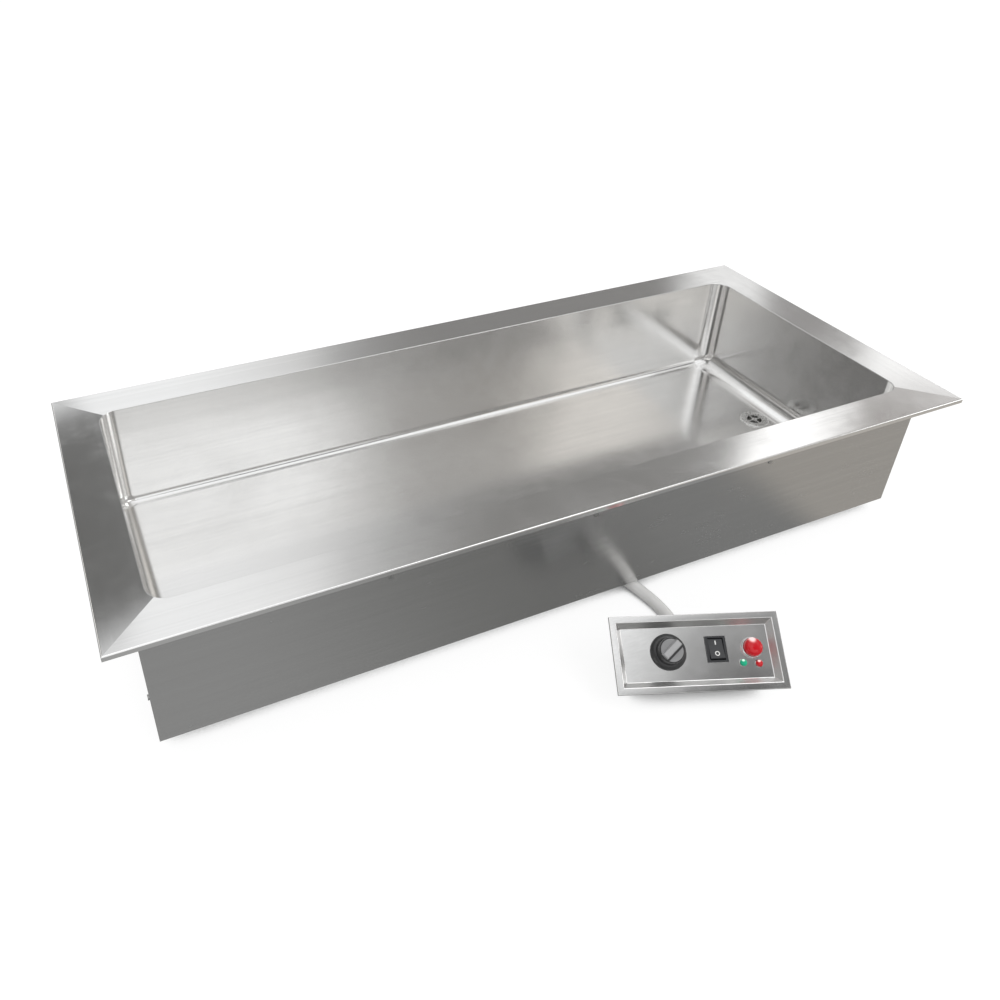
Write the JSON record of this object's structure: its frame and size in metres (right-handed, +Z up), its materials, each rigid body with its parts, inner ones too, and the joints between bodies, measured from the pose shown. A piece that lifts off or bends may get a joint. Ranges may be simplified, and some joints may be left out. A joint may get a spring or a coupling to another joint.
{
  "type": "hot food table",
  "caption": "Drop-in hot food table: a long heated stainless well with a mitred rim, a boxed casing and a separate control box on a short conduit.",
  "frame": {"origin": "bottom centre of the box round the well and its control box, on the surface they stand on", "axes": "+X along the well towards its drain, +Y from the control box to the back of the well, +Z up"},
  "size_m": [1.2, 0.7088, 0.22],
  "materials": {
    "well_steel": "fine brushed, semi bright",
    "casing_steel": "satin",
    "panel_steel": "fine brushed",
    "galvanised": "zinc plated",
    "fixings": "plain",
    "element_steel": "dull dark",
    "copper": "dull",
    "brass": "plain",
    "drain_metal": "polished",
    "seal_rubber": "matt",
    "mineral_wool": "fibrous board",
    "black_plastic": "matt",
    "white_plastic": "matt",
    "connector_plastic": "matt",
    "conduit_plastic": "smooth",
    "knob_plastic": "semi gloss",
    "rocker_plastic": "semi gloss",
    "lamp_chrome": "polished",
    "red_lens_plastic": "clear gloss",
    "green_lens_plastic": "clear gloss"
  },
  "bodies": {
    "tub": {"well": "well_steel", "rim_front": "well_steel", "rim_back": "well_steel", "rim_left": "well_steel", "rim_right": "well_steel", "casing_front": "casing_steel", "casing_back": "casing_steel", "casing_left": "casing_steel", "casing_right": "casing_steel", "casing_corners": "galvanised", "casing_brackets": "galvanised", "casing_rivets": "fixings", "bottom_cover": "galvanised", "cover_screws": "fixings", "feet": "black_plastic", "foot_bolts": "fixings", "foot_nuts": "fixings", "side_insulation": "mineral_wool", "bottom_insulation": "mineral_wool", "heating_elements": "element_steel", "element_terminals": "fixings", "clamp_bars": "galvanised", "clamp_studs": "fixings", "clamp_nuts": "fixings", "thermostat_bulb": "copper", "bulb_clips": "galvanised", "safety_cutout": "black_plastic", "cutout_nuts": "fixings", "drain_body": "drain_metal", "drain_strainer": "drain_metal", "drain_gasket": "seal_rubber", "drain_locknut": "brass", "terminal_box": "galvanised", "terminal_box_screws": "fixings", "terminal_block": "white_plastic", "earth_stud": "brass", "well_connector": "connector_plastic", "well_connector_nut": "connector_plastic", "mains_gland": "connector_plastic", "mains_gland_nut": "connector_plastic", "conduit": "conduit_plastic", "control_panel": "panel_steel", "control_box": "galvanised", "box_back_cover": "galvanised", "back_cover_screws": "fixings", "box_connector": "connector_plastic", "box_connector_nut": "connector_plastic", "thermostat_body": "black_plastic", "thermostat_screws": "fixings", "rocker_frame": "rocker_plastic", "pilot_body": "lamp_chrome", "pilot_nut": "brass", "pilot_lens": "red_lens_plastic", "indicator_bodies": "lamp_chrome", "green_lens": "green_lens_plastic", "red_lens": "red_lens_plastic"},
    "thermostat_knob": {"knob": "knob_plastic", "thermostat_shaft": "fixings"},
    "switch_button": {"rocker_button": "rocker_plastic"}
  },
  "joints": [
    {"name": "knob_turn", "type": "hinge", "parent": "tub", "child": "thermostat_knob", "pos_m": [0.03668, -0.2619, 0.05304], "axis": [0.1954, 0.5224, -0.83], "range_deg": [0, 290]},
    {"name": "rocker_tip", "type": "hinge", "parent": "tub", "child": "switch_button", "pos_m": [0.0944, -0.28056, 0.05128], "axis": [0.9366, -0.3503, 0], "range_deg": [0, 16]}
  ]
}
